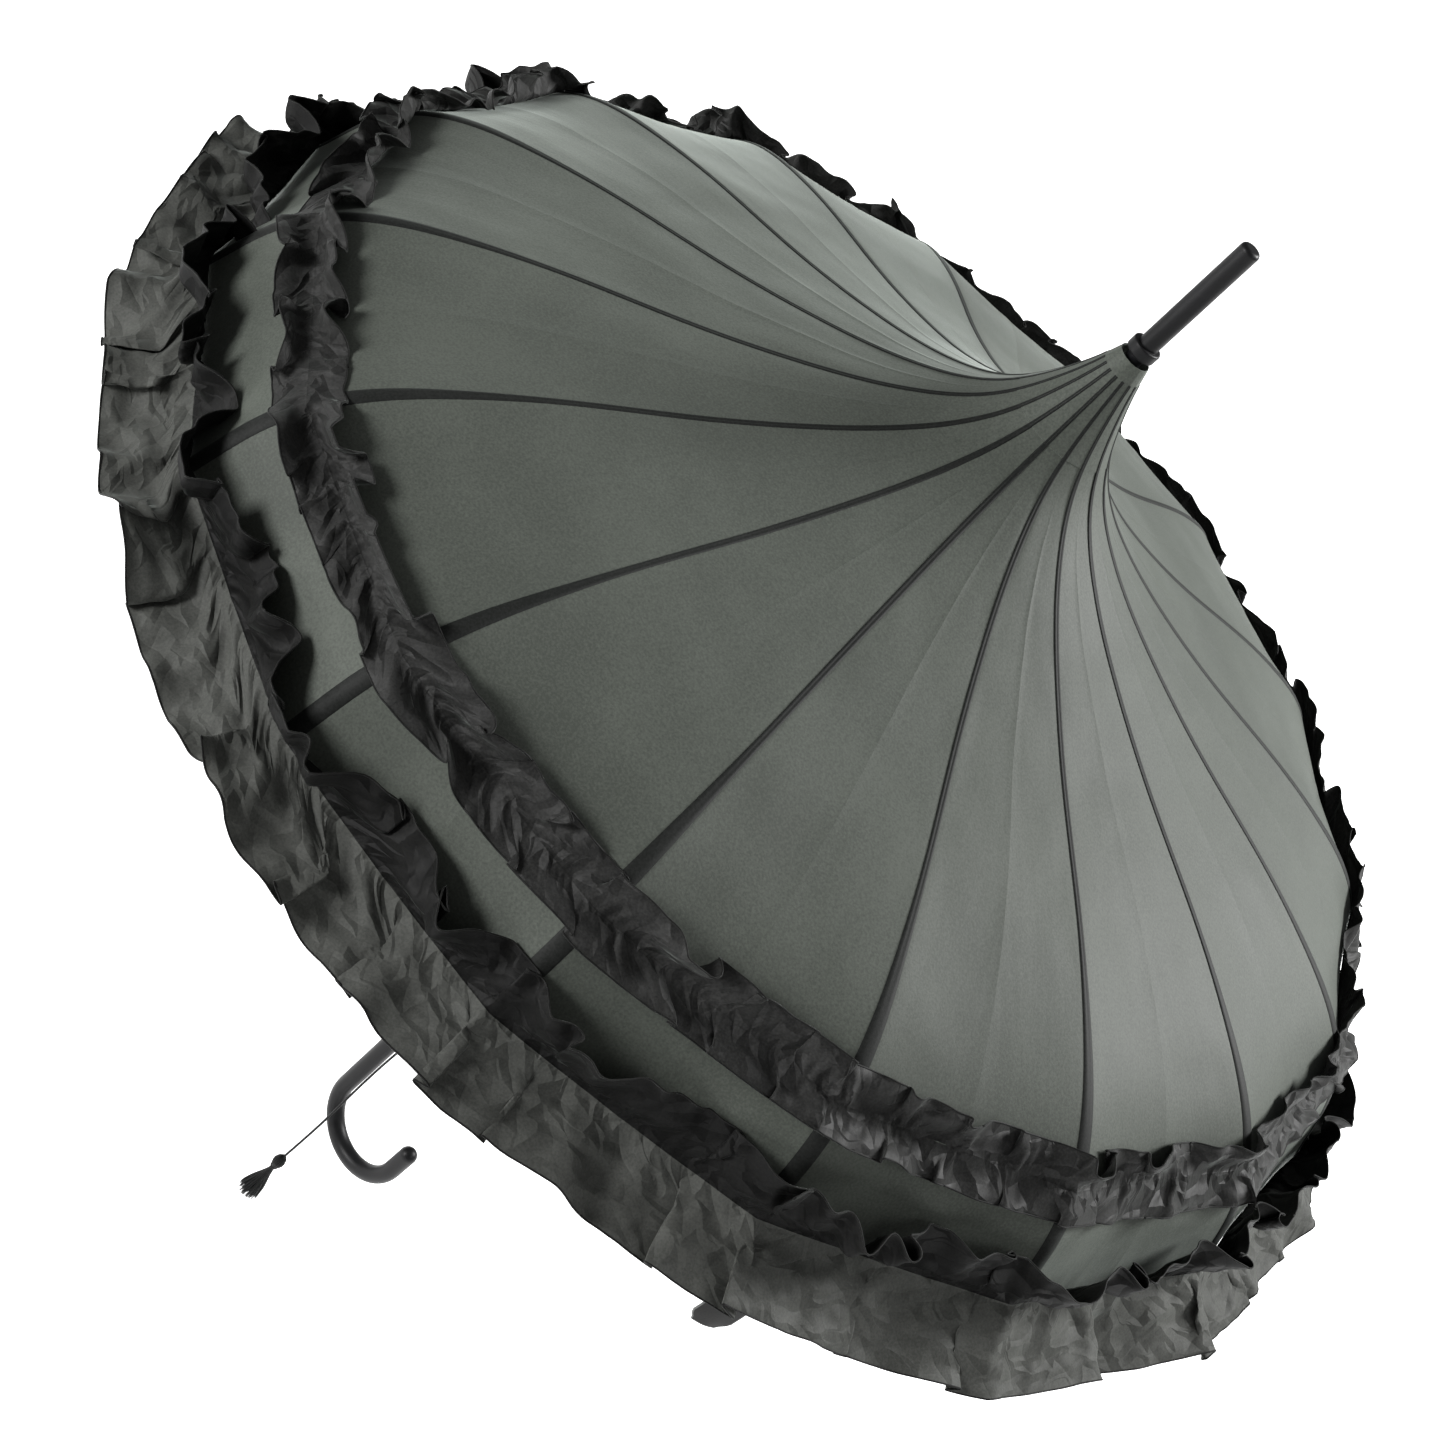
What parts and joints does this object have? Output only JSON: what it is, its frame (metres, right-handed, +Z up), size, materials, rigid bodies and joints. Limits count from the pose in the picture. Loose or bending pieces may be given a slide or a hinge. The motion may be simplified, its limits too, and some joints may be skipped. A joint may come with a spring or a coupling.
{
  "type": "pagoda parasol",
  "caption": "Folding pagoda parasol with a concave pointed canopy, two gathered frills at the rim, a slim shaft with a sliding runner, a crook handle and a hanging tassel.",
  "frame": {"origin": "on the shaft's axis, in the straight grip of the crook handle", "axes": "+Z up the shaft to the ferrule's tip, +X towards the open end of the crook"},
  "size_m": [0.902, 0.902, 1.001],
  "materials": {
    "cloth": "satin",
    "black_handle": "satin",
    "black_plastic": "satin",
    "black_tube": "satin",
    "rib_steel": "satin",
    "spring_steel": "satin",
    "cord": "satin"
  },
  "bodies": {
    "frame": {"shaft_tube": "black_tube", "ferrule": "black_handle", "top_notch": "black_plastic", "rib_roots": "rib_steel", "canopy_spire": "cloth", "handle_crook": "black_handle", "cord_wrap": "cord", "tassel_cord": "cord", "tassel": "cord"},
    "runner": {"runner": "black_plastic"},
    "open_catch": {"open_catch": "spring_steel"},
    "close_catch": {"close_catch": "spring_steel"},
    "rib_00": {"rib_00": "rib_steel", "canopy_panel_00": "cloth"},
    "stretcher_00": {"stretcher_00": "rib_steel"},
    "rib_01": {"rib_01": "rib_steel", "canopy_panel_01": "cloth"},
    "stretcher_01": {"stretcher_01": "rib_steel"},
    "rib_02": {"rib_02": "rib_steel", "canopy_panel_02": "cloth"},
    "stretcher_02": {"stretcher_02": "rib_steel"},
    "rib_03": {"rib_03": "rib_steel", "canopy_panel_03": "cloth"},
    "stretcher_03": {"stretcher_03": "rib_steel"},
    "rib_04": {"rib_04": "rib_steel", "canopy_panel_04": "cloth"},
    "stretcher_04": {"stretcher_04": "rib_steel"},
    "rib_05": {"rib_05": "rib_steel", "canopy_panel_05": "cloth"},
    "stretcher_05": {"stretcher_05": "rib_steel"},
    "rib_06": {"rib_06": "rib_steel", "canopy_panel_06": "cloth"},
    "stretcher_06": {"stretcher_06": "rib_steel"},
    "rib_07": {"rib_07": "rib_steel", "canopy_panel_07": "cloth"},
    "stretcher_07": {"stretcher_07": "rib_steel"},
    "rib_08": {"rib_08": "rib_steel", "canopy_panel_08": "cloth"},
    "stretcher_08": {"stretcher_08": "rib_steel"},
    "rib_09": {"rib_09": "rib_steel", "canopy_panel_09": "cloth"},
    "stretcher_09": {"stretcher_09": "rib_steel"},
    "rib_10": {"rib_10": "rib_steel", "canopy_panel_10": "cloth"},
    "stretcher_10": {"stretcher_10": "rib_steel"},
    "rib_11": {"rib_11": "rib_steel", "canopy_panel_11": "cloth"},
    "stretcher_11": {"stretcher_11": "rib_steel"},
    "rib_12": {"rib_12": "rib_steel", "canopy_panel_12": "cloth"},
    "stretcher_12": {"stretcher_12": "rib_steel"},
    "rib_13": {"rib_13": "rib_steel", "canopy_panel_13": "cloth"},
    "stretcher_13": {"stretcher_13": "rib_steel"},
    "rib_14": {"rib_14": "rib_steel", "canopy_panel_14": "cloth"},
    "stretcher_14": {"stretcher_14": "rib_steel"},
    "rib_15": {"rib_15": "rib_steel", "canopy_panel_15": "cloth"},
    "stretcher_15": {"stretcher_15": "rib_steel"}
  },
  "joints": [
    {"name": "runner_slide", "type": "slide", "parent": "frame", "child": "runner", "axis": [0, 0, -1], "range_m": [0, 0.18579]},
    {"name": "open_catch_press", "type": "slide", "parent": "frame", "child": "open_catch", "axis": [-1, 0, 0], "range_m": [0, 0.0026], "stiffness_N_per_m": 400, "springref_m": -0.002},
    {"name": "close_catch_press", "type": "slide", "parent": "frame", "child": "close_catch", "axis": [-1, 0, 0], "range_m": [0, 0.0026], "stiffness_N_per_m": 400, "springref_m": -0.002},
    {"name": "rib_00_fold", "type": "hinge", "parent": "frame", "child": "rib_00", "pos_m": [0.02786, 0, 0.66359], "axis": [0, 1, 0], "range_deg": [0, 60.6], "deforming": ["canopy_panel_00"]},
    {"name": "stretcher_00_pivot", "type": "hinge", "parent": "rib_00", "child": "stretcher_00", "pos_m": [0.18797, 0, 0.57278], "axis": [0, -1, 0], "range_deg": [0, 114.19]},
    {"name": "rib_01_fold", "type": "hinge", "parent": "frame", "child": "rib_01", "pos_m": [0.02574, 0.01066, 0.66359], "axis": [-0.3827, 0.9239, 0], "range_deg": [0, 60.6], "deforming": ["canopy_panel_01"]},
    {"name": "stretcher_01_pivot", "type": "hinge", "parent": "rib_01", "child": "stretcher_01", "pos_m": [0.17366, 0.07193, 0.57278], "axis": [0.3827, -0.9239, 0], "range_deg": [0, 114.19]},
    {"name": "rib_02_fold", "type": "hinge", "parent": "frame", "child": "rib_02", "pos_m": [0.0197, 0.0197, 0.66359], "axis": [-0.7071, 0.7071, 0], "range_deg": [0, 60.6], "deforming": ["canopy_panel_02"]},
    {"name": "stretcher_02_pivot", "type": "hinge", "parent": "rib_02", "child": "stretcher_02", "pos_m": [0.13291, 0.13291, 0.57278], "axis": [0.7071, -0.7071, 0], "range_deg": [0, 114.19]},
    {"name": "rib_03_fold", "type": "hinge", "parent": "frame", "child": "rib_03", "pos_m": [0.01066, 0.02574, 0.66359], "axis": [-0.9239, 0.3827, 0], "range_deg": [0, 60.6], "deforming": ["canopy_panel_03"]},
    {"name": "stretcher_03_pivot", "type": "hinge", "parent": "rib_03", "child": "stretcher_03", "pos_m": [0.07193, 0.17366, 0.57278], "axis": [0.9239, -0.3827, 0], "range_deg": [0, 114.19]},
    {"name": "rib_04_fold", "type": "hinge", "parent": "frame", "child": "rib_04", "pos_m": [0, 0.02786, 0.66359], "axis": [-1, 0, 0], "range_deg": [0, 60.6], "deforming": ["canopy_panel_04"]},
    {"name": "stretcher_04_pivot", "type": "hinge", "parent": "rib_04", "child": "stretcher_04", "pos_m": [0, 0.18797, 0.57278], "axis": [1, 0, 0], "range_deg": [0, 114.19]},
    {"name": "rib_05_fold", "type": "hinge", "parent": "frame", "child": "rib_05", "pos_m": [-0.01066, 0.02574, 0.66359], "axis": [-0.9239, -0.3827, 0], "range_deg": [0, 60.6], "deforming": ["canopy_panel_05"]},
    {"name": "stretcher_05_pivot", "type": "hinge", "parent": "rib_05", "child": "stretcher_05", "pos_m": [-0.07193, 0.17366, 0.57278], "axis": [0.9239, 0.3827, 0], "range_deg": [0, 114.19]},
    {"name": "rib_06_fold", "type": "hinge", "parent": "frame", "child": "rib_06", "pos_m": [-0.0197, 0.0197, 0.66359], "axis": [-0.7071, -0.7071, 0], "range_deg": [0, 60.6], "deforming": ["canopy_panel_06"]},
    {"name": "stretcher_06_pivot", "type": "hinge", "parent": "rib_06", "child": "stretcher_06", "pos_m": [-0.13291, 0.13291, 0.57278], "axis": [0.7071, 0.7071, 0], "range_deg": [0, 114.19]},
    {"name": "rib_07_fold", "type": "hinge", "parent": "frame", "child": "rib_07", "pos_m": [-0.02574, 0.01066, 0.66359], "axis": [-0.3827, -0.9239, 0], "range_deg": [0, 60.6], "deforming": ["canopy_panel_07"]},
    {"name": "stretcher_07_pivot", "type": "hinge", "parent": "rib_07", "child": "stretcher_07", "pos_m": [-0.17366, 0.07193, 0.57278], "axis": [0.3827, 0.9239, 0], "range_deg": [0, 114.19]},
    {"name": "rib_08_fold", "type": "hinge", "parent": "frame", "child": "rib_08", "pos_m": [-0.02786, 0, 0.66359], "axis": [0, -1, 0], "range_deg": [0, 60.6], "deforming": ["canopy_panel_08"]},
    {"name": "stretcher_08_pivot", "type": "hinge", "parent": "rib_08", "child": "stretcher_08", "pos_m": [-0.18797, 0, 0.57278], "axis": [0, 1, 0], "range_deg": [0, 114.19]},
    {"name": "rib_09_fold", "type": "hinge", "parent": "frame", "child": "rib_09", "pos_m": [-0.02574, -0.01066, 0.66359], "axis": [0.3827, -0.9239, 0], "range_deg": [0, 60.6], "deforming": ["canopy_panel_09"]},
    {"name": "stretcher_09_pivot", "type": "hinge", "parent": "rib_09", "child": "stretcher_09", "pos_m": [-0.17366, -0.07193, 0.57278], "axis": [-0.3827, 0.9239, 0], "range_deg": [0, 114.19]},
    {"name": "rib_10_fold", "type": "hinge", "parent": "frame", "child": "rib_10", "pos_m": [-0.0197, -0.0197, 0.66359], "axis": [0.7071, -0.7071, 0], "range_deg": [0, 60.6], "deforming": ["canopy_panel_10"]},
    {"name": "stretcher_10_pivot", "type": "hinge", "parent": "rib_10", "child": "stretcher_10", "pos_m": [-0.13291, -0.13291, 0.57278], "axis": [-0.7071, 0.7071, 0], "range_deg": [0, 114.19]},
    {"name": "rib_11_fold", "type": "hinge", "parent": "frame", "child": "rib_11", "pos_m": [-0.01066, -0.02574, 0.66359], "axis": [0.9239, -0.3827, 0], "range_deg": [0, 60.6], "deforming": ["canopy_panel_11"]},
    {"name": "stretcher_11_pivot", "type": "hinge", "parent": "rib_11", "child": "stretcher_11", "pos_m": [-0.07193, -0.17366, 0.57278], "axis": [-0.9239, 0.3827, 0], "range_deg": [0, 114.19]},
    {"name": "rib_12_fold", "type": "hinge", "parent": "frame", "child": "rib_12", "pos_m": [0, -0.02786, 0.66359], "axis": [1, 0, 0], "range_deg": [0, 60.6], "deforming": ["canopy_panel_12"]},
    {"name": "stretcher_12_pivot", "type": "hinge", "parent": "rib_12", "child": "stretcher_12", "pos_m": [0, -0.18797, 0.57278], "axis": [-1, 0, 0], "range_deg": [0, 114.19]},
    {"name": "rib_13_fold", "type": "hinge", "parent": "frame", "child": "rib_13", "pos_m": [0.01066, -0.02574, 0.66359], "axis": [0.9239, 0.3827, 0], "range_deg": [0, 60.6], "deforming": ["canopy_panel_13"]},
    {"name": "stretcher_13_pivot", "type": "hinge", "parent": "rib_13", "child": "stretcher_13", "pos_m": [0.07193, -0.17366, 0.57278], "axis": [-0.9239, -0.3827, 0], "range_deg": [0, 114.19]},
    {"name": "rib_14_fold", "type": "hinge", "parent": "frame", "child": "rib_14", "pos_m": [0.0197, -0.0197, 0.66359], "axis": [0.7071, 0.7071, 0], "range_deg": [0, 60.6], "deforming": ["canopy_panel_14"]},
    {"name": "stretcher_14_pivot", "type": "hinge", "parent": "rib_14", "child": "stretcher_14", "pos_m": [0.13291, -0.13291, 0.57278], "axis": [-0.7071, -0.7071, 0], "range_deg": [0, 114.19]},
    {"name": "rib_15_fold", "type": "hinge", "parent": "frame", "child": "rib_15", "pos_m": [0.02574, -0.01066, 0.66359], "axis": [0.3827, 0.9239, 0], "range_deg": [0, 60.6], "deforming": ["canopy_panel_15"]},
    {"name": "stretcher_15_pivot", "type": "hinge", "parent": "rib_15", "child": "stretcher_15", "pos_m": [0.17366, -0.07193, 0.57278], "axis": [-0.3827, -0.9239, 0], "range_deg": [0, 114.19]}
  ],
  "couplings": [
    {"joint": "rib_00_fold", "follows": "runner_slide", "rad_per_m": 5.6834},
    {"joint": "stretcher_00_pivot", "follows": "runner_slide", "rad_per_m": 10.708},
    {"joint": "rib_01_fold", "follows": "runner_slide", "rad_per_m": 5.6834},
    {"joint": "stretcher_01_pivot", "follows": "runner_slide", "rad_per_m": 10.708},
    {"joint": "rib_02_fold", "follows": "runner_slide", "rad_per_m": 5.6834},
    {"joint": "stretcher_02_pivot", "follows": "runner_slide", "rad_per_m": 10.708},
    {"joint": "rib_03_fold", "follows": "runner_slide", "rad_per_m": 5.6834},
    {"joint": "stretcher_03_pivot", "follows": "runner_slide", "rad_per_m": 10.708},
    {"joint": "rib_04_fold", "follows": "runner_slide", "rad_per_m": 5.6834},
    {"joint": "stretcher_04_pivot", "follows": "runner_slide", "rad_per_m": 10.708},
    {"joint": "rib_05_fold", "follows": "runner_slide", "rad_per_m": 5.6834},
    {"joint": "stretcher_05_pivot", "follows": "runner_slide", "rad_per_m": 10.708},
    {"joint": "rib_06_fold", "follows": "runner_slide", "rad_per_m": 5.6834},
    {"joint": "stretcher_06_pivot", "follows": "runner_slide", "rad_per_m": 10.708},
    {"joint": "rib_07_fold", "follows": "runner_slide", "rad_per_m": 5.6834},
    {"joint": "stretcher_07_pivot", "follows": "runner_slide", "rad_per_m": 10.708},
    {"joint": "rib_08_fold", "follows": "runner_slide", "rad_per_m": 5.6834},
    {"joint": "stretcher_08_pivot", "follows": "runner_slide", "rad_per_m": 10.708},
    {"joint": "rib_09_fold", "follows": "runner_slide", "rad_per_m": 5.6834},
    {"joint": "stretcher_09_pivot", "follows": "runner_slide", "rad_per_m": 10.708},
    {"joint": "rib_10_fold", "follows": "runner_slide", "rad_per_m": 5.6834},
    {"joint": "stretcher_10_pivot", "follows": "runner_slide", "rad_per_m": 10.708},
    {"joint": "rib_11_fold", "follows": "runner_slide", "rad_per_m": 5.6834},
    {"joint": "stretcher_11_pivot", "follows": "runner_slide", "rad_per_m": 10.708},
    {"joint": "rib_12_fold", "follows": "runner_slide", "rad_per_m": 5.6834},
    {"joint": "stretcher_12_pivot", "follows": "runner_slide", "rad_per_m": 10.708},
    {"joint": "rib_13_fold", "follows": "runner_slide", "rad_per_m": 5.6834},
    {"joint": "stretcher_13_pivot", "follows": "runner_slide", "rad_per_m": 10.708},
    {"joint": "rib_14_fold", "follows": "runner_slide", "rad_per_m": 5.6834},
    {"joint": "stretcher_14_pivot", "follows": "runner_slide", "rad_per_m": 10.708},
    {"joint": "rib_15_fold", "follows": "runner_slide", "rad_per_m": 5.6834},
    {"joint": "stretcher_15_pivot", "follows": "runner_slide", "rad_per_m": 10.708}
  ]
}
